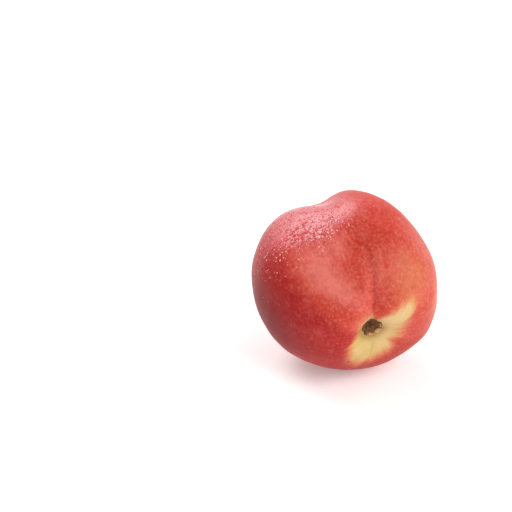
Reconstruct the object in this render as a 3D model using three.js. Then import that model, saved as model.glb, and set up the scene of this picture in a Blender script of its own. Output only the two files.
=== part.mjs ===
// A nectarine lying on its cheek, with its stem hollow turned forward and down.
// Millimetres, +Z up, front at -Y. The origin is the middle of the flat spot it rests on.

import * as THREE from 'three';
import { mergeVertices } from 'three/addons/utils/BufferGeometryUtils.js';

// How the fruit lies: directions out from its middle, and the middle of its flat spot
const STEM_DIRECTION = new THREE.Vector3(0.248, -0.883, -0.399);
const SUTURE_DIRECTION = new THREE.Vector3(0.043, -0.402, 0.915);
const RESTING_POINT = new THREE.Vector3(1.3, 2.4, -36.9);

// Body
const CHEEK_RADIUS = 33.4;   // across the cheeks, on average
const HALF_LENGTH = 35.8;   // from the middle to the tip, and to the stem end before it is hollowed
const SLANT = -0.112;   // sideways shift of the stem end, per unit of length

// Stem hollow, and the shoulder that stands up on one side of it. Angles are in degrees from
// the stem direction, except the turns, which go around it from the suture.
const HOLLOW_DEPTH = 12;
const HOLLOW_SPREAD = 19;
const HOLLOW_POWER = 1.5;   // 1 is a cone, 2 a round bowl
const HOLLOW_TILT = 5;   // how far the hollow's deepest point leans to the shoulder
const SHOULDER_HEIGHT = 2;
const SHOULDER_ANGLE = 24;
const SHOULDER_SPREAD = 13;
const SHOULDER_TURN = 30;

// Tip, the small point at the blossom end
const TIP_HEIGHT = 0.9;
const TIP_SPREAD = 6;

// Suture, the groove down one side: a crease at the stem end and a wide dip near the tip
const CREASE_DEPTH = 3;
const CREASE_ANGLE = 26;
const CREASE_SPREAD = 19;
const CREASE_HALF_WIDTH = 3.7;
const MIDDLE_DEPTH = 0.5;
const DIP_DEPTH = 4.7;
const DIP_ANGLE = 152;
const DIP_SPREAD = 30;
const DIP_HALF_WIDTH = 9.7;
const SWING = 1.9;   // how far the crease swings sideways as it runs into the hollow
const SWING_SPREAD = 25;
const STEEP_SIDE = 0.3;   // how much narrower the dip is on the side away from the shoulder

// Three places where the cheeks stand out or lie back. The angle and the turn give the middle.
const LOW_CHEEK = { height: 0.9, angle: 46, spread: 14, turn: -110, width: 26 };
const FAR_CHEEK = { height: 0.9, angle: 70, spread: 18, turn: 124, width: 20 };
const HIGH_CHEEK = { height: -0.7, angle: 96, spread: 18, turn: -56, width: 22 };

// Facets
const COLUMNS = 64;
const RINGS = 40;

// Bell curve of height 1 around the middle value
function bell(value, middle, spread) {
  return Math.exp(-(((value - middle) / spread) ** 2));
}

// How the cheeks swell and narrow around the stem direction; azimuth is 0 at the suture.
function cheekSwell(azimuth) {
  const oneSided = -0.134 * Math.cos(azimuth) - 0.021 * Math.sin(azimuth);
  const twoSided = 0.011 * Math.cos(2 * azimuth) - 0.051 * Math.sin(2 * azimuth);
  const threeSided = -0.03 * Math.sin(3 * azimuth);
  return 1 + oneSided + twoSided + threeSided;
}

// Height of one uneven place on the cheeks: a bell down the fruit times a bell around it
function unevenness(place, polar, azimuth) {
  const turn = THREE.MathUtils.radToDeg(azimuth) - place.turn;
  const shortWay = THREE.MathUtils.euclideanModulo(turn + 180, 360) - 180;
  const down = bell(THREE.MathUtils.radToDeg(polar), place.angle, place.spread);
  return place.height * down * bell(shortWay, 0, place.width);
}

// Degrees between a direction and the deepest point of the stem hollow
function angleFromHollow(polar, azimuth) {
  const tilt = THREE.MathUtils.degToRad(HOLLOW_TILT);
  const turn = azimuth - THREE.MathUtils.degToRad(SHOULDER_TURN);
  const cosine = Math.cos(tilt) * Math.cos(polar) + Math.sin(tilt) * Math.sin(polar) * Math.cos(turn);
  return THREE.MathUtils.radToDeg(Math.acos(THREE.MathUtils.clamp(cosine, -1, 1)));
}

// Distance from the middle to the skin with no groove: an ellipsoid with swollen cheeks,
// less the stem hollow, plus the shoulder beside it, three uneven places and the small tip.
function smoothRadius(polar, azimuth) {
  const across = Math.sin(polar) / (CHEEK_RADIUS * cheekSwell(azimuth));
  const along = Math.cos(polar) / HALF_LENGTH;
  const body = 1 / Math.hypot(across, along);
  const steps = angleFromHollow(polar, azimuth) / HOLLOW_SPREAD;
  const hollow = HOLLOW_DEPTH * Math.exp(-(steps ** HOLLOW_POWER));
  const angle = THREE.MathUtils.radToDeg(polar);
  const turn = azimuth - THREE.MathUtils.degToRad(SHOULDER_TURN);
  const shoulder = SHOULDER_HEIGHT * bell(angle, SHOULDER_ANGLE, SHOULDER_SPREAD) * Math.cos(turn);
  const tip = TIP_HEIGHT * bell(angle, 180, TIP_SPREAD);
  const cheeks = unevenness(LOW_CHEEK, polar, azimuth) + unevenness(FAR_CHEEK, polar, azimuth)
    + unevenness(HIGH_CHEEK, polar, azimuth);
  return body - hollow + shoulder + cheeks + tip;
}

// Depth of the suture groove, which fades out where it runs over either end of the fruit.
function grooveDepth(polar, azimuth, radius) {
  const angle = THREE.MathUtils.radToDeg(polar);
  const crease = CREASE_DEPTH * bell(angle, CREASE_ANGLE, CREASE_SPREAD);
  const dip = THREE.MathUtils.lerp(MIDDLE_DEPTH, DIP_DEPTH, bell(angle, DIP_ANGLE, DIP_SPREAD));
  const widening = THREE.MathUtils.smoothstep(angle, 45, 125);
  const fromStemAxis = radius * Math.sin(polar);
  const swing = SWING * bell(angle, SWING_SPREAD, SWING_SPREAD);
  const sideways = fromStemAxis * Math.sin(azimuth) - swing;
  const narrowing = sideways < 0 ? 1 - STEEP_SIDE * widening : 1;
  const halfWidth = THREE.MathUtils.lerp(CREASE_HALF_WIDTH, DIP_HALF_WIDTH, widening) * narrowing;
  const section = Math.exp(-(Math.abs(sideways / halfWidth) ** (1.4 + 0.6 * widening)));
  const fade = THREE.MathUtils.smoothstep(fromStemAxis * Math.cos(azimuth), -4, 12);
  return (crease + dip) * section * fade;
}

// Turns the fruit's own axes (suture, side, stem) to the way it lies.
function lyingTurn() {
  const stem = STEM_DIRECTION.clone().normalize();
  const side = new THREE.Vector3().crossVectors(stem, SUTURE_DIRECTION).normalize();
  const suture = new THREE.Vector3().crossVectors(side, stem);
  return new THREE.Matrix4().makeBasis(suture, side, stem);
}

// Moves a point of a unit sphere, with its poles on Z, out to the fruit's skin.
function moveToSkin(point) {
  const evenPolar = Math.acos(THREE.MathUtils.clamp(point.z, -1, 1));
  const evenAzimuth = Math.atan2(point.y, point.x);
  const polar = evenPolar * (0.8 + 0.2 * evenPolar / Math.PI);   // closer rings in the hollow
  const azimuth = evenAzimuth - 0.5 * Math.sin(evenAzimuth);   // closer columns at the suture
  const smooth = smoothRadius(polar, azimuth);
  const radius = smooth - grooveDepth(polar, azimuth, smooth);
  point.setFromSphericalCoords(radius, polar, azimuth);
  point.set(point.z, point.x, point.y);
  point.y += SLANT * point.z;
}

function nectarineGeometry() {
  const sphere = new THREE.SphereGeometry(1, COLUMNS, RINGS).rotateX(Math.PI / 2);
  sphere.deleteAttribute('normal');
  sphere.deleteAttribute('uv');
  const skin = mergeVertices(sphere);
  const places = skin.getAttribute('position');
  const turn = lyingTurn();
  const point = new THREE.Vector3();
  for (let i = 0; i < places.count; i += 1) {
    point.fromBufferAttribute(places, i);
    moveToSkin(point);
    point.applyMatrix4(turn).sub(RESTING_POINT);
    places.setXYZ(i, point.x, point.y, Math.max(point.z, 0));   // pressed flat where it rests
  }
  return skin;
}

const skinMaterial = new THREE.MeshStandardMaterial({ color: 0xc9453f, roughness: 0.38, metalness: 0 });
const nectarine = new THREE.Mesh(nectarineGeometry(), skinMaterial);
nectarine.name = 'nectarine';

const fruit = new THREE.Group();
fruit.add(nectarine);

export default fruit;
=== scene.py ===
# A nectarine lying on its cheek, with its stem hollow turned forward and down.
# Metres, +Z up, front at -Y. The origin is the middle of the flat spot it rests on.

import bpy
import numpy as np
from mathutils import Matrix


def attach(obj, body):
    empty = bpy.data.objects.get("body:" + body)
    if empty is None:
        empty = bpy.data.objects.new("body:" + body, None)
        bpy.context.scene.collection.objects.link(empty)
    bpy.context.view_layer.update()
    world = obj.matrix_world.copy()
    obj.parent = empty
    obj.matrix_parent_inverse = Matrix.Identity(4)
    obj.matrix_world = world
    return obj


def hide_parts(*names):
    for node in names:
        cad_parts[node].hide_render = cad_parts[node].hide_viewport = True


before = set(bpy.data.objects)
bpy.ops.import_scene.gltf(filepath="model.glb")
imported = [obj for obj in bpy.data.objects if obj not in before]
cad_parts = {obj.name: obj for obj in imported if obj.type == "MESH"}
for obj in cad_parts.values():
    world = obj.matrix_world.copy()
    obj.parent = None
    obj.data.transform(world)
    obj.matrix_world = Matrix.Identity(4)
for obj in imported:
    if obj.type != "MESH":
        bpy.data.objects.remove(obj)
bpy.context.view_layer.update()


# ---- Skin ----
# The whole fruit as it is seen: a thin, smooth, hairless skin grown over the flesh, with red
# blush where the sun reached it and cream ground colour around the stem hollow. It is grown in
# one piece, drawn in at the stem end and creased down one side by the suture.

STEM_DIRECTION = (0.248, -0.883, -0.399)
SUTURE_DIRECTION = (0.043, -0.402, 0.915)
RESTING_POINT = (0.0013, 0.0024, -0.0369)

CHEEK_RADIUS = 0.0334
HALF_LENGTH = 0.0358
SLANT = -0.112

HOLLOW_DEPTH = 0.012
HOLLOW_SPREAD = 19
HOLLOW_POWER = 1.5
HOLLOW_TILT = 5

SHOULDER_HEIGHT = 0.002
SHOULDER_ANGLE = 24
SHOULDER_SPREAD = 13
SHOULDER_TURN = 30

TIP_HEIGHT = 0.0009
TIP_SPREAD = 6

CREASE_DEPTH = 0.003
CREASE_ANGLE = 26
CREASE_SPREAD = 19
CREASE_HALF_WIDTH = 0.0037
MIDDLE_DEPTH = 0.0005
DIP_DEPTH = 0.0047
DIP_ANGLE = 152
DIP_SPREAD = 30
DIP_HALF_WIDTH = 0.0097
SWING = 0.0019
SWING_SPREAD = 25
STEEP_SIDE = 0.3

# Where the cheeks stand out or lie back: height, polar angle, its spread, azimuth, its spread
LOW_CHEEK = (0.0009, 46, 14, -110, 26)
FAR_CHEEK = (0.0009, 70, 18, 124, 20)
HIGH_CHEEK = (-0.0007, 96, 18, -56, 22)

SWELLING_HEIGHT = 0.00011

# Middle of the stem scar, as a polar angle and an azimuth
SCAR_POLAR = 5.8
SCAR_TURN = 30

SKIN_RINGS = 236
SKIN_COLUMNS = 384


def bell(value, middle, spread):
    """Bell curve of height 1: e to the minus square of the distance from the middle, in spreads."""
    return np.exp(-(((value - middle) / spread) ** 2))


def ease(value, low, high):
    """0 up to low, 1 from high, and 3 s squared less 2 s cubed between them."""
    step = np.clip((value - low) / (high - low), 0, 1)
    return step * step * (3 - 2 * step)


def away(turn, middle):
    """Degrees between an azimuth and the middle, the short way round."""
    return (turn - middle + 180) % 360 - 180


def lying_turn():
    """Columns are the fruit's own axes, suture, side and stem, as it lies: side is stem times
    suture, and the suture axis is side times stem, so that all three stand square."""
    stem = np.array(STEM_DIRECTION) / np.linalg.norm(STEM_DIRECTION)
    side = np.cross(stem, SUTURE_DIRECTION)
    side /= np.linalg.norm(side)
    return np.stack([np.cross(side, stem), side, stem], axis=1)


def own_direction(polar, azimuth):
    """Unit vector on the fruit's own axes: polar angle from the stem, azimuth from the suture."""
    across = np.sin(polar)
    return np.stack([across * np.cos(azimuth), across * np.sin(azimuth), np.cos(polar)], axis=-1)


def smooth_radius(polar, azimuth):
    """Distance from the middle with no groove: an ellipsoid with swollen cheeks, less the stem
    hollow, plus the shoulder beside it, three uneven places and the small tip at the other end."""
    swell = (1 - 0.134 * np.cos(azimuth) - 0.021 * np.sin(azimuth) + 0.011 * np.cos(2 * azimuth)
             - 0.051 * np.sin(2 * azimuth) - 0.03 * np.sin(3 * azimuth))
    body = 1 / np.hypot(np.sin(polar) / (CHEEK_RADIUS * swell), np.cos(polar) / HALF_LENGTH)
    tilt = np.radians(HOLLOW_TILT)
    turn = azimuth - np.radians(SHOULDER_TURN)
    cosine = np.cos(tilt) * np.cos(polar) + np.sin(tilt) * np.sin(polar) * np.cos(turn)
    steps = np.degrees(np.arccos(np.clip(cosine, -1, 1))) / HOLLOW_SPREAD
    hollow = HOLLOW_DEPTH * np.exp(-(steps ** HOLLOW_POWER))
    angle = np.degrees(polar)
    shoulder = SHOULDER_HEIGHT * bell(angle, SHOULDER_ANGLE, SHOULDER_SPREAD) * np.cos(turn)
    cheeks = 0
    for height, middle, spread, side, width in (LOW_CHEEK, FAR_CHEEK, HIGH_CHEEK):
        around = bell(away(np.degrees(azimuth), side), 0, width)
        cheeks = cheeks + height * bell(angle, middle, spread) * around
    return body - hollow + shoulder + cheeks + TIP_HEIGHT * bell(angle, 180, TIP_SPREAD)


def groove_depth(polar, azimuth, radius):
    """Depth of the suture: a narrow crease at the stem end and a wide dip near the tip, each a
    bell across the groove, fading out where the groove runs over either end."""
    angle = np.degrees(polar)
    crease = CREASE_DEPTH * bell(angle, CREASE_ANGLE, CREASE_SPREAD)
    dip = MIDDLE_DEPTH + (DIP_DEPTH - MIDDLE_DEPTH) * bell(angle, DIP_ANGLE, DIP_SPREAD)
    widening = ease(angle, 45, 125)
    half_width = CREASE_HALF_WIDTH + (DIP_HALF_WIDTH - CREASE_HALF_WIDTH) * widening
    from_stem_axis = radius * np.sin(polar)
    swing = SWING * bell(angle, SWING_SPREAD, SWING_SPREAD)
    sideways = from_stem_axis * np.sin(azimuth) - swing
    half_width = np.where(sideways < 0, half_width * (1 - STEEP_SIDE * widening), half_width)
    section = np.exp(-(np.abs(sideways / half_width) ** (1.4 + 0.6 * widening)))
    return (crease + dip) * section * ease(from_stem_axis * np.cos(azimuth), -0.004, 0.012)


def skin_place(polar, azimuth, lift=0.0):
    """Place of the skin: the own direction times the radius, slanted sideways along the stem
    axis, raised by soft swellings a few millimetres wide, turned as it lies, and pressed flat."""
    direction = own_direction(polar, azimuth)
    smooth = smooth_radius(polar, azimuth)
    radius = smooth - groove_depth(polar, azimuth, smooth)
    swellings = (np.sin(direction @ (9, 4, -3) + 1) * np.sin(direction @ (-3, 8, 5))
                 + 0.5 * np.sin(direction @ (14, -11, 9) + 2) * np.sin(direction @ (7, 15, -12)))
    radius = radius + SWELLING_HEIGHT * swellings * ease(np.degrees(polar), 12, 40) + lift
    own = direction * radius[..., None]
    own[..., 1] += SLANT * own[..., 2]
    place = own @ lying_turn().T - RESTING_POINT
    place[..., 2] = np.maximum(place[..., 2], 0)
    return place


def closed_grid(first, rows, last, wrap):
    """Vertices and faces of a closed ball: a first pole, rows of wrap points each, and a last
    pole. Each row joins the next with four-sided faces, and fans close the poles."""
    count = len(rows)
    vertices = np.vstack([first, rows.reshape(-1, 3), last])
    here = np.arange(wrap)
    beside = (here + 1) % wrap
    base = 1 + wrap * np.arange(count - 1)[:, None]
    quads = np.stack([base + here, base + wrap + here, base + wrap + beside, base + beside], axis=-1)
    top = np.stack([np.zeros(wrap, int), 1 + here, 1 + beside], axis=-1)
    end = 1 + wrap * (count - 1)
    bottom = np.stack([end + here, np.full(wrap, end + wrap), end + beside], axis=-1)
    return vertices, quads.reshape(-1, 4).tolist() + top.tolist() + bottom.tolist()


def new_piece(name, vertices, faces, material):
    """A smooth mesh object at the origin, with its place in its mesh."""
    mesh = bpy.data.meshes.new(name)
    mesh.from_pydata(vertices, [], faces)
    mesh.polygons.foreach_set("use_smooth", np.ones(len(faces), bool))
    mesh.materials.append(material)
    mesh.update()
    piece = bpy.data.objects.new(name, mesh)
    bpy.context.collection.objects.link(piece)
    return piece


def add_mask(piece, name, values):
    """Keeps one number for each vertex, for the material to read."""
    layer = piece.data.attributes.new(name, "FLOAT", "POINT")
    layer.data.foreach_set("value", np.ascontiguousarray(values, dtype=np.float32))


def add_vectors(piece, name, vectors):
    """Keeps one vector for each vertex, for the material to read."""
    layer = piece.data.attributes.new(name, "FLOAT_VECTOR", "POINT")
    layer.data.foreach_set("vector", vectors.astype(np.float32).ravel())


class Wire:
    """A socket in a material's nodes. Sums, differences and products of wires add Math nodes."""

    def __init__(self, tree, socket=None):
        self.tree = tree
        self.socket = socket

    def node(self, kind, settings, sockets, out=0):
        """Adds a shader node: its settings first, then its sockets' values or links."""
        node = self.tree.nodes.new("ShaderNode" + kind)
        for name, value in settings.items():
            setattr(node, name, value)
        for name, value in sockets.items():
            if isinstance(value, Wire):
                self.tree.links.new(value.socket, node.inputs[name])
            else:
                node.inputs[name].default_value = value
        return Wire(self.tree, node.outputs[out])

    def math(self, operation, first, second=0.0):
        return self.node("Math", {"operation": operation}, {0: first, 1: second})

    def __add__(self, other):
        return self.math("ADD", self, other)

    def __sub__(self, other):
        return self.math("SUBTRACT", self, other)

    def __mul__(self, other):
        return self.math("MULTIPLY", self, other)

    def __rsub__(self, other):
        return self.math("SUBTRACT", other, self)

    __radd__ = __add__

    def edge(self, low, high):
        """Eases this value from 0 at low to 1 at high."""
        return self.node("MapRange", {"interpolation_type": "SMOOTHSTEP"},
                         {"Value": self, "From Min": low, "From Max": high})

    def mix(self, colour, other):
        """Goes from one colour to the other as this value goes from 0 to 1."""
        return self.node("Mix", {"data_type": "RGBA"}, {0: self, 6: colour, 7: other}, 2)

    def stretch(self, factors):
        """Multiplies this vector by the factors, axis by axis."""
        return self.node("VectorMath", {"operation": "MULTIPLY"}, {0: self, 1: factors})

    def noise(self, size, detail=2.0, roughness=0.5):
        """Soft noise between 0 and 1, whose lumps are about this size, read along this vector."""
        return self.node("TexNoise", {}, {"Vector": self, "Scale": 1 / size, "Detail": detail,
                                          "Roughness": roughness})

    def dots(self, size, radius, softness):
        """1 in round dots scattered about one size apart, and 0 between them."""
        gap = self.node("TexVoronoi", {}, {"Vector": self, "Scale": 1 / size, "Randomness": 1.0})
        return 1 - gap.edge(radius, radius + softness)


def new_material(name):
    """A material with its output node, and a wire to start its nodes from."""
    material = bpy.data.materials.new(name)
    material.use_nodes = True
    material.node_tree.nodes.clear()
    return material, Wire(material.node_tree)


def finish_material(shader):
    """Links the shader to the material's surface."""
    output = shader.tree.nodes.new("ShaderNodeOutputMaterial")
    shader.tree.links.new(shader.socket, output.inputs["Surface"])


def tint(red, green, blue):
    """A screen colour, 0 to 255 a channel, as the linear colour that shaders mix."""
    screen = np.array([red, green, blue]) / 255
    linear = np.where(screen < 0.04045, screen / 12.92, ((screen + 0.055) / 1.055) ** 2.4)
    return (*linear.tolist(), 1.0)


CREAM = tint(220, 192, 138)
STRAW = tint(204, 176, 98)
PEACH = tint(208, 110, 74)
# Olive tint of the hollow, also laid on as painted shade round the scar
SHADED_OLIVE = tint(132, 96, 32)
ORANGE_RED = tint(198, 56, 40)
SCARLET = tint(184, 38, 22)
CRIMSON = tint(172, 12, 14)
DEEP_RED = tint(146, 12, 10)
# Deep wine red, also laid on as painted shade on the left cheek and the underside
SHADED_WINE = tint(122, 0, 8)
SALMON = tint(228, 116, 104)
APRICOT = tint(206, 106, 72)
# Pale pink of light on the wet haze: a painted sheen
SHEEN_PINK = tint(218, 106, 112)
GOLD = tint(220, 156, 88)
PALE = tint(236, 156, 126)
# White of painted glints on the wet haze
GLINT_WHITE = tint(250, 206, 210)
DARK_SPECK = tint(70, 38, 20)

MASKS = ("ground", "scarlet", "crimson", "wine_and_shade", "salmon_and_highlight", "apricot", "mist_and_sheen", "olive_and_shade", "gold",
         "crease", "speck")


def skin_material():
    """Layers of colour, each laid over the last where its mask says, with torn edges: first the
    reds, with painted shade on the wine cheek and in the crease, then the gold and cream ground
    with painted shade round the scar, then a painted sheen on the haze, the fine grain and
    painted glints. Sizes are metres, or parts of the fruit's radius for the noises read along
    the fruit's own axes."""
    material, start = new_material("nectarine_skin")
    place = start.node("TexCoord", {}, {}, "Object")
    own = start.node("Attribute", {"attribute_name": "own_axes"}, {}, "Vector")
    mask = {name: start.node("Attribute", {"attribute_name": name}, {}, "Fac")
            for name in MASKS}

    around = start.node("Attribute", {"attribute_name": "around"}, {}, "Vector")
    rays = around.noise(0.14, 4, 0.65)
    streaks = own.stretch((1, 1, 0.3)).noise(0.09, 3, 0.6)
    wisps = own.stretch((1, 1, 0.25)).noise(0.035, 4, 0.65)
    clouds = place.noise(0.009, 3, 0.55)
    mottle = place.noise(0.0028, 3, 0.6)
    grain = place.noise(0.0011, 3, 0.65)
    torn = ((streaks - 0.5) * 0.6 + (wisps - 0.5) * 0.7 + (grain - 0.5) * 0.35
            + (mottle - 0.5) * 0.35)

    red = (mask["scarlet"] + torn * 0.6).edge(0, 1).mix(ORANGE_RED, SCARLET)
    red = (mask["crimson"] + torn * 0.6).edge(0, 0.95).mix(red, CRIMSON)
    # Salmon: pale streaks of its own, and a faint painted highlight on the lobe beside the crease
    red = (mask["salmon_and_highlight"] + torn * 1.1).edge(0, 1).mix(red, SALMON)
    red = (mask["apricot"] + torn * 0.7).edge(0.05, 1.1).mix(red, APRICOT)
    red = (clouds.edge(0.45, 0.8) * 0.25).mix(red, SALMON)
    red = (wisps.edge(0.5, 0.75) * 0.25).mix(red, SALMON)
    # Wine: the cheek's own deep red, with painted shade on the left cheek and the underside
    red = (mask["wine_and_shade"] + torn * 0.3).edge(0, 1).mix(red, SHADED_WINE)
    # Painted shade: a thin darker line down the suture crease
    red = mask["crease"].mix(red, DEEP_RED)
    red = (mottle.edge(0.42, 0.75) * 0.27).mix(red, DEEP_RED)
    gold = (streaks.edge(0.4, 0.7) * 0.6).mix(GOLD, PEACH)
    skin = ((mask["gold"] + torn * 0.8).edge(0, 1.2) * 0.85).mix(red, gold)
    fray = ((rays - 0.5) * 1.1 + torn * 0.25) * mask["ground"].edge(0, 0.25)
    frayed = mask["ground"] + fray
    peachy = frayed.edge(0.02, 0.5).mix(skin, PEACH)
    cream = clouds.edge(0.3, 0.7).mix(CREAM, STRAW)
    cream = (rays.edge(0.5, 0.8) * 0.45).mix(cream, PEACH)
    skin = frayed.edge(0.3, 1).mix(peachy, cream)
    # Olive in the hollow: partly its own tint, partly painted shade round the scar and in a faint
    # crease
    skin = mask["olive_and_shade"].mix(skin, SHADED_OLIVE)
    # Painted sheen: the pale pink of light on the wet haze, laid into the colour
    skin = (mask["mist_and_sheen"] + torn * 0.4).edge(0, 1).mix(skin, SHEEN_PINK)
    pores = place.dots(0.0021, 0.08, 0.1)
    lightness = (1 - mask["crimson"] * 0.5) * (1 - mask["wine_and_shade"] * 0.8)
    skin = ((grain.edge(0.4, 0.75) + pores) * 0.21 * lightness).mix(skin, PALE)
    shadows = place.dots(0.0013, 0.14, 0.16) * mask["mist_and_sheen"]
    skin = (shadows * 0.6).mix(skin, CRIMSON)
    # Painted glints: fine white specks where light catches the wet haze
    painted_glints = place.dots(0.0008, 0.16, 0.16) * (mask["mist_and_sheen"] + (mottle - 0.5)).edge(0.3, 1)
    skin = (painted_glints * 0.55).mix(skin, GLINT_WHITE)
    skin = mask["speck"].mix(skin, DARK_SPECK)

    beads = place.dots(0.00075, 0.22, 0.3) * mask["mist_and_sheen"].edge(0.15, 0.8)
    height = grain * 0.00004 + clouds * 0.00012 + pores * -0.00002 + beads * 0.00009
    bump = start.node("Bump", {}, {"Strength": 0.55, "Distance": 1.0, "Height": height})
    shader = start.node("BsdfPrincipled", {}, {
        "Base Color": skin, "Normal": bump,
        "Roughness": 0.44 - mask["mist_and_sheen"] * 0.12 + (grain - 0.5) * 0.12,
        "Coat Weight": mask["mist_and_sheen"] * 0.4, "Coat Roughness": 0.25,
        "IOR": 1.4, "Specular IOR Level": 0.25, "Subsurface Weight": 0.1, "Subsurface Scale": 0.0015,
        "Subsurface Radius": (1.0, 0.35, 0.2)})
    finish_material(shader)
    return material


def angle_from_scar(polar, azimuth):
    """Degrees between a direction and the middle of the stem scar."""
    middle = own_direction(np.radians(SCAR_POLAR), np.radians(SCAR_TURN))
    return np.degrees(np.arccos(np.clip(own_direction(polar, azimuth) @ middle, -1, 1)))


def skin_masks(polar, azimuth):
    """How strongly each layer of colour shows, 0 to 1, by name. Patches are bells and eased
    edges in degrees: polar angle from the stem axis, and azimuth from the suture."""
    angle = np.degrees(polar)
    turn = np.degrees(azimuth)

    def patch(middle_angle, angle_spread, middle_turn, turn_spread):
        """A soft patch: a bell down the fruit times a bell around it."""
        down = bell(angle, middle_angle, angle_spread)
        return down * bell(away(turn, middle_turn), 0, turn_spread)

    # Polar angle where the cream ground ends: two tongues, drawn back at the sides between them
    ground_edge = (21 + 16 * bell(turn, -34, 15) - 4 * bell(turn, -90, 34) - 8 * bell(turn, 1, 8)
                   - 6.5 * bell(turn, 72, 24) + 7 * bell(away(turn, 153), 0, 24)
                   - 7 * bell(turn, -124, 15))
    softness = 3.1 - 1.4 * bell(turn, 95, 40) - 1.2 * bell(turn, -120, 10)
    past_edge = np.clip((angle - ground_edge) / softness, -30, 30)

    # The crease swings to the suture as it leaves the hollow, and fades towards the middle.
    # Painted shade runs down it, and a faint painted highlight on the lobe just beside it.
    crease_turn = 12 * (1 - ease(angle, 15, 62))
    crease = ease(angle, 22, 30) * (1 - ease(angle, 62, 100))

    streak_turn = 22 + 17 * ease(angle, 25, 65)
    streak = bell(angle, 62, 36) * bell(turn, streak_turn, 15)
    sunny = (1 - ease(np.abs(away(turn, 115)), 43, 66)) * (1 - ease(angle, 140, 172))
    # The haze of mist on the upper shoulder; its pink colour is a painted sheen on the wet skin
    mist_and_sheen = (ease(angle + 8 * bell(turn, 22, 24), 90, 115) * (1 - ease(angle, 138, 160))
            * np.minimum(1.2 * bell(turn, 26, 40), 1))
    from_scar = angle_from_scar(polar, azimuth)
    # Olive ring: its own tint with painted shade at the scar's edge; the fine line is painted shade
    scar_ring_and_shade = bell(from_scar, 9.5, 2.2) * (1 - 0.7 * bell(turn, -20, 30))
    faint_crease_shade = bell(away(turn, 169), 0, 2.2) * ease(angle, 7, 9) * (1 - ease(angle, 15, 20))

    masks = {
        "ground": 1 / (1 + np.exp(past_edge)),
        "scarlet": patch(84, 24, 0, 26) + patch(34, 16, -145, 50),
        "crimson": sunny + 0.5 * ease(angle, 140, 172),
        # Wine: its own deep red, darkened as painted shade on the left cheek and near the floor
        "wine_and_shade": patch(84, 44, 106, 32) + 0.45 * patch(38, 12, -172, 42),
        # Salmon streaks are its own colour; the last term is a faint painted highlight by the crease
        "salmon_and_highlight": (streak + 0.6 * patch(82, 16, 16, 10) + 0.5 * patch(50, 16, -4, 12)
                   + 0.1 * crease * bell(turn, crease_turn + 4, 4)),
        "apricot": patch(48, 24, -32, 24) + 0.85 * patch(20, 9, 32, 24),
        "mist_and_sheen": mist_and_sheen,
        "olive_and_shade": 0.5 * scar_ring_and_shade + 0.3 * faint_crease_shade,
        "gold": (0.95 * patch(98, 36, -114, 34) + 0.7 * patch(60, 20, -80, 16)
                 + 0.45 * patch(150, 25, 170, 60)),
        # Painted shade: a thin dark line in the suture crease
        "crease": 0.4 * crease * bell(turn, crease_turn - 2, 2.6),
        "speck": 2 * patch(28, 0.7, 141, 1.4) + 0.8 * bell(angle, 180, 2),
    }
    return {name: np.clip(masks[name], 0, 1) for name in MASKS}


def make_skin():
    """A ball of rings and columns, closer together in the hollow and beside the suture."""
    even_polar = np.linspace(0, np.pi, SKIN_RINGS + 1)[1:-1]
    even_azimuth = np.linspace(-np.pi, np.pi, SKIN_COLUMNS, endpoint=False)
    polar, azimuth = np.meshgrid(even_polar * (0.8 + 0.2 * even_polar / np.pi),
                                 even_azimuth - 0.5 * np.sin(even_azimuth), indexing="ij")
    pole = skin_place(np.array([0.0, np.pi]), np.zeros(2))
    vertices, faces = closed_grid(pole[:1], skin_place(polar, azimuth), pole[1:], SKIN_COLUMNS)
    skin = new_piece("nectarine_skin", vertices, faces, skin_material())

    polar = np.concatenate([[0], polar.ravel(), [np.pi]])
    azimuth = np.concatenate([[0], azimuth.ravel(), [0]])
    add_vectors(skin, "own_axes", own_direction(polar, azimuth))
    rolled_out = np.stack([np.cos(azimuth), np.sin(azimuth), 0.35 * polar], axis=-1)
    add_vectors(skin, "around", rolled_out)
    for name, values in skin_masks(polar, azimuth).items():
        add_mask(skin, name, values)
    return skin


nectarine_skin = make_skin()
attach(nectarine_skin, "root")
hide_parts("nectarine")


# ---- Stem scar ----
# The dry socket that the stem left: a shallow cup of dark brown cork in the bottom of the
# hollow, with a torn, paler rim on its lower side. It has grown fast to the skin around it.

SCAR_ANGLE = 10.3
SCAR_SLIMNESS = 0.16   # how much narrower it is than long
SCAR_RISE = 0.00018   # height of its floor over the skin
RIM_HEIGHT = 0.0007
LUMP_HEIGHT = 0.00012
SCAR_SINK = 0.0008   # depth of its underside, inside the flesh
SCAR_RINGS = 26
SCAR_COLUMNS = 96


def scar_material():
    """Mottled brown cork with paler, tan tissue along the torn rim."""
    material, start = new_material("stem_scar_cork")
    place = start.node("TexCoord", {}, {}, "Object")
    rim = start.node("Attribute", {"attribute_name": "rim"}, {}, "Fac")
    lumps = place.noise(0.0012, 4, 0.65)
    fibres = place.noise(0.0004, 3, 0.7)
    cork = lumps.edge(0.3, 0.65).mix(tint(58, 32, 18), tint(138, 92, 52))
    cork = (fibres.edge(0.4, 0.7) * 0.4).mix(cork, tint(92, 54, 28))
    cork = (rim + (fibres - 0.5) * 0.8).edge(0.25, 0.6).mix(cork, tint(222, 166, 110))
    height = lumps * 0.00025 + fibres * 0.00012
    bump = start.node("Bump", {}, {"Strength": 0.8, "Distance": 1.0, "Height": height})
    shader = start.node("BsdfPrincipled", {}, {
        "Base Color": cork, "Roughness": 0.85 - lumps * 0.15, "Normal": bump,
        "Specular IOR Level": 0.3})
    finish_material(shader)
    return material


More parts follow.
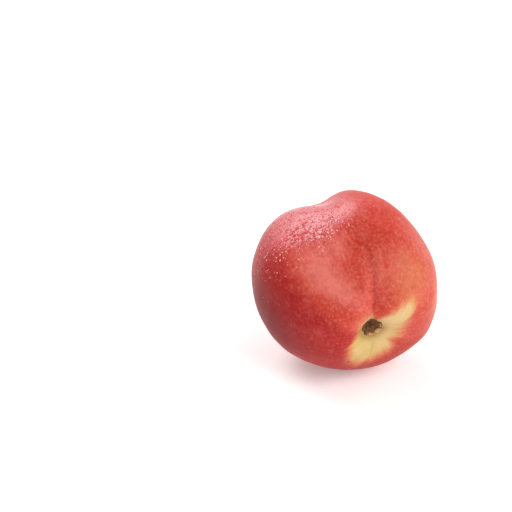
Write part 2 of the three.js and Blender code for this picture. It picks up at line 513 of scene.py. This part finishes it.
def make_scar():
    """A closed lens on the hollow's floor. Its top is a cup: a floor with lumps, a rim that
    stands up unevenly round it, and an edge that dives under the skin."""
    tilt = np.radians(SCAR_POLAR)
    turn = np.radians(SCAR_TURN)
    middle = own_direction(tilt, turn)
    ahead = own_direction(tilt + np.pi / 2, turn)
    beside = np.cross(middle, ahead)
    out = np.linspace(0, 1, SCAR_RINGS + 1)[1:]
    around = np.linspace(-np.pi, np.pi, SCAR_COLUMNS, endpoint=False)
    out, around = np.meshgrid(out, around, indexing="ij")
    ragged = (1 + 0.05 * np.sin(3 * around + 1) + 0.035 * np.sin(7 * around)
              + 0.03 * np.sin(13 * around + 2) + 0.02 * np.sin(23 * around + 1))
    lean = np.radians(SCAR_ANGLE) * out * ragged * (1 - SCAR_SLIMNESS * np.sin(around) ** 2)
    direction = (np.cos(lean)[..., None] * middle + np.sin(lean)[..., None]
                 * (np.cos(around)[..., None] * ahead + np.sin(around)[..., None] * beside))
    polar = np.arccos(np.clip(direction[..., 2], -1, 1))
    azimuth = np.arctan2(direction[..., 1], direction[..., 0])
    torn_side = bell(away(np.degrees(around), 190), 0, 70)
    teeth = 0.6 + 0.4 * np.sin(11 * around + 2) * np.sin(17 * around)
    rim = bell(out, 0.82, 0.13) * (0.15 + 0.85 * torn_side * teeth)
    lumps = (np.sin(direction @ (160, 60, 0)) * np.sin(direction @ (-70, 150, 0) + 1)
             + 0.6 * np.sin(direction @ (300, -210, 0)) * np.sin(direction @ (190, 260, 0)))
    height = (SCAR_RISE + RIM_HEIGHT * rim + LUMP_HEIGHT * lumps * (1 - ease(out, 0.75, 1))
              - RIM_HEIGHT * ease(out, 0.88, 1))
    top = skin_place(polar, azimuth, height)
    under = skin_place(polar, azimuth, np.full_like(polar, -SCAR_SINK))[::-1]
    middle_polar, middle_azimuth = np.array([tilt]), np.array([turn])
    first = skin_place(middle_polar, middle_azimuth, np.array([SCAR_RISE]))
    last = skin_place(middle_polar, middle_azimuth, np.array([-SCAR_SINK]))
    rows = np.concatenate([top, under])
    vertices, faces = closed_grid(first, rows, last, SCAR_COLUMNS)
    scar = new_piece("stem_scar", vertices, faces, scar_material())
    rim_mask = np.concatenate([[0], rim.ravel(), np.zeros(rim.size + 1)])
    add_mask(scar, "rim", rim_mask)
    return scar


stem_scar = make_scar()
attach(stem_scar, "root")


# ---- Dew ----
# Water misted on the fruit after washing: many fine beads on the upper shoulder near the
# suture, and a few larger drops that have run together. It clings to the skin.

BEADS = 2200
BEAD_COLUMNS = 8
BEAD_RINGS = 3
DROP_COLUMNS = 20
DROP_RINGS = 9
DROPS = 18
HALF_HEIGHT = 0.33   # of a bead's width, above and below the skin

# Polar angle and azimuth of the largest drops
LARGE_DROPS = np.array([(111, 46), (102, 25), (95, 22), (118, 48), (114, 39), (103, 42),
                        (109, 57)])


def water_material():
    """Clear beads show the red beneath them, painted darker at their foot as shade; many of the
    finest are painted white, as glints of light on them. Each bead keeps its own glint."""
    material, start = new_material("dew_water")
    place = start.node("TexCoord", {}, {}, "Object")
    glint = start.node("Attribute", {"attribute_name": "glint"}, {}, "Fac")
    foot = start.node("Attribute", {"attribute_name": "foot"}, {}, "Fac")
    ripple = place.noise(0.0004, 2, 0.5)
    # Painted shade: darker red towards each bead's foot
    clear = foot.mix(tint(226, 70, 74), tint(160, 16, 28))
    # Painted glints: white on the beads whose glint is high
    water = (glint + (ripple - 0.5) * 0.3).edge(0.1, 0.9).mix(clear, tint(250, 190, 194))
    bump = start.node("Bump", {}, {"Strength": 0.2, "Distance": 1.0, "Height": ripple * 0.00002})
    shader = start.node("BsdfPrincipled", {}, {
        "Base Color": water, "Roughness": 0.14 + ripple * 0.12, "Normal": bump, "IOR": 1.33,
        "Coat Weight": 0.5, "Coat Roughness": 0.1})
    finish_material(shader)
    return material


def beads_on_skin(name, polar, azimuth, width, length, spin, wobble, columns, rings, glint,
                  material):
    """Flattened balls sunk halfway into the skin: rings from top to bottom, as long and wide as
    given, two thirds as high as wide, with two swellings round the outline that the spin turns."""
    step = 1e-4   # a short way along the skin, in radians, to find which way it faces
    place = skin_place(polar, azimuth)
    down = skin_place(polar + step, azimuth) - place
    facing = np.cross(down, skin_place(polar, azimuth + step) - place)
    facing /= np.linalg.norm(facing, axis=1)[:, None]
    down /= np.linalg.norm(down, axis=1)[:, None]
    side = np.cross(facing, down)
    long_axis = down * np.cos(spin)[:, None] + side * np.sin(spin)[:, None]
    axes = np.stack([long_axis, np.cross(facing, long_axis), facing], axis=1)

    slope, around = np.meshgrid(np.linspace(0, np.pi, rings + 2)[1:-1],
                                np.linspace(0, 2 * np.pi, columns, endpoint=False), indexing="ij")
    ball = np.stack([np.sin(slope) * np.cos(around), np.sin(slope) * np.sin(around),
                     np.cos(slope)], axis=-1)
    ball, faces = closed_grid([[0, 0, 1]], ball, [[0, 0, -1]], columns)
    around = np.arctan2(ball[:, 1], ball[:, 0])
    outline = 1 + wobble * np.sin(2 * around + 9 * spin[:, None])
    size = np.stack([length / 2, width / 2, width * HALF_HEIGHT], axis=1)
    local = ball * size[:, None]
    local[..., :2] *= outline[..., None]
    vertices = place[:, None] + local @ axes
    shift = len(ball) * np.arange(len(polar))
    all_faces = [[corner + first for corner in face] for first in shift.tolist() for face in faces]
    beads = new_piece(name, vertices.reshape(-1, 3), all_faces, material)
    add_mask(beads, "glint", glint.repeat(len(ball)))
    add_mask(beads, "foot", np.tile(1 - ease(ball[:, 2], 0, 0.6), len(polar)))
    return beads


def make_dew():
    """Beads crowd where two patches are dense and thin out around them, in a fixed order."""
    chance = np.random.default_rng(7)
    water = water_material()
    near = BEADS * 6 // 10
    polar = np.concatenate([chance.normal(107, 8, near), chance.normal(112, 14, BEADS - near)])
    turn = np.concatenate([chance.normal(23, 11, near), chance.normal(40, 24, BEADS - near)])
    width = chance.lognormal(np.log(0.00034), 0.35, BEADS)
    stretch = chance.uniform(1, 1.5, BEADS)
    spin = chance.uniform(0, np.pi, BEADS)
    crowding = bell(polar, 107, 14) * bell(turn, 22, 20)
    glint = np.clip(chance.uniform(-0.6, 1, BEADS) + 0.3 * crowding, 0, 1)
    beads = beads_on_skin("dew_beads", np.radians(polar), np.radians(turn), width, width * stretch,
                          spin, 0.0, BEAD_COLUMNS, BEAD_RINGS, glint, water)
    polar = np.concatenate([LARGE_DROPS[:, 0], chance.normal(108, 7, DROPS)])
    turn = np.concatenate([LARGE_DROPS[:, 1], chance.normal(44, 11, DROPS)])
    drops = len(polar)
    width = chance.uniform(0.0008, 0.0013, drops)
    stretch = chance.uniform(1.2, 2.1, drops)
    spin = np.pi / 2 + chance.normal(0, 0.4, drops)
    return beads, beads_on_skin("dew_drops", np.radians(polar), np.radians(turn), width,
                                width * stretch, spin, 0.12, DROP_COLUMNS, DROP_RINGS,
                                np.zeros(drops), water)


for dew in make_dew():
    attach(dew, "root")


# ---- Floor, light and camera ----
# A round white paper sweep under a pale studio: a soft box behind on the left for the shine on
# the wet haze, a key light in front on the right, and a low rim light behind on the right.

SWEEP_START = 3   # radius of the flat part
SWEEP_HEIGHT = 1.2
SWEEP_RINGS = 16
SWEEP_COLUMNS = 96


def make_floor():
    """A flat round sheet whose edge curves up all round, like a paper sweep: beyond the start,
    radius and height follow a quarter circle."""
    material, start = new_material("white_floor")
    place = start.node("TexCoord", {}, {}, "Object")
    paper = place.noise(0.02, 2).mix(tint(250, 250, 250), tint(246, 246, 246))
    shader = start.node("BsdfPrincipled", {}, {"Base Color": paper, "Roughness": 0.9,
                                               "Specular IOR Level": 0.1,
                                               "Emission Color": paper, "Emission Strength": 0.24})
    finish_material(shader)
    curve = np.linspace(0, np.pi / 2, SWEEP_RINGS)
    turn = np.linspace(0, 2 * np.pi, SWEEP_COLUMNS, endpoint=False)
    radius = (SWEEP_START + SWEEP_HEIGHT * np.sin(curve))[:, None]
    height = np.repeat(SWEEP_HEIGHT * (1 - np.cos(curve)), SWEEP_COLUMNS)
    rings = np.stack([(radius * np.cos(turn)).ravel(), (radius * np.sin(turn)).ravel(), height],
                     axis=1)
    here = np.arange(SWEEP_COLUMNS)
    beside = (here + 1) % SWEEP_COLUMNS
    base = SWEEP_COLUMNS * np.arange(SWEEP_RINGS - 1)[:, None]
    quads = np.stack([base + here, base + SWEEP_COLUMNS + here, base + SWEEP_COLUMNS + beside,
                      base + beside], axis=-1)
    return new_piece("floor", rings, [here.tolist()] + quads.reshape(-1, 4).tolist(), material)


make_floor()


def add_light(name, azimuth, elevation, distance, width, height, watts):
    """A soft box that faces the fruit, placed by its compass angle, its height and its reach."""
    light = bpy.data.lights.new(name, "AREA")
    light.shape = "RECTANGLE"
    light.size = width
    light.size_y = height
    light.energy = watts
    lamp = bpy.data.objects.new(name, light)
    bpy.context.collection.objects.link(lamp)
    azimuth, elevation = np.radians(azimuth), np.radians(elevation)
    toward = np.array([np.sin(azimuth) * np.cos(elevation), -np.cos(azimuth) * np.cos(elevation),
                       np.sin(elevation)])
    lamp.location = toward * distance + (0, 0, 0.035)
    lamp.rotation_euler = (np.pi / 2 - elevation, 0, azimuth)


add_light("wet_shine", -138, 42, 0.8, 0.6, 0.36, 4)
add_light("key", 52, 44, 0.9, 0.6, 0.6, 5)
add_light("rim", 128, 12, 0.9, 0.25, 0.7, 2)

world = bpy.data.worlds.new("white_studio")
world.use_nodes = True
world.node_tree.nodes["Background"].inputs["Color"].default_value = (1, 1, 1, 1)
world.node_tree.nodes["Background"].inputs["Strength"].default_value = 0.47
bpy.context.scene.world = world
bpy.context.scene.view_settings.view_transform = "Standard"

camera = bpy.data.objects.new("camera", bpy.data.cameras.new("camera"))
bpy.context.collection.objects.link(camera)
camera.data.lens = 73.97
camera.location = (-0.03521, -0.35365, 0.22844)
camera.rotation_euler = (np.radians(90 - 27.5), 0, 0)
bpy.context.scene.camera = camera
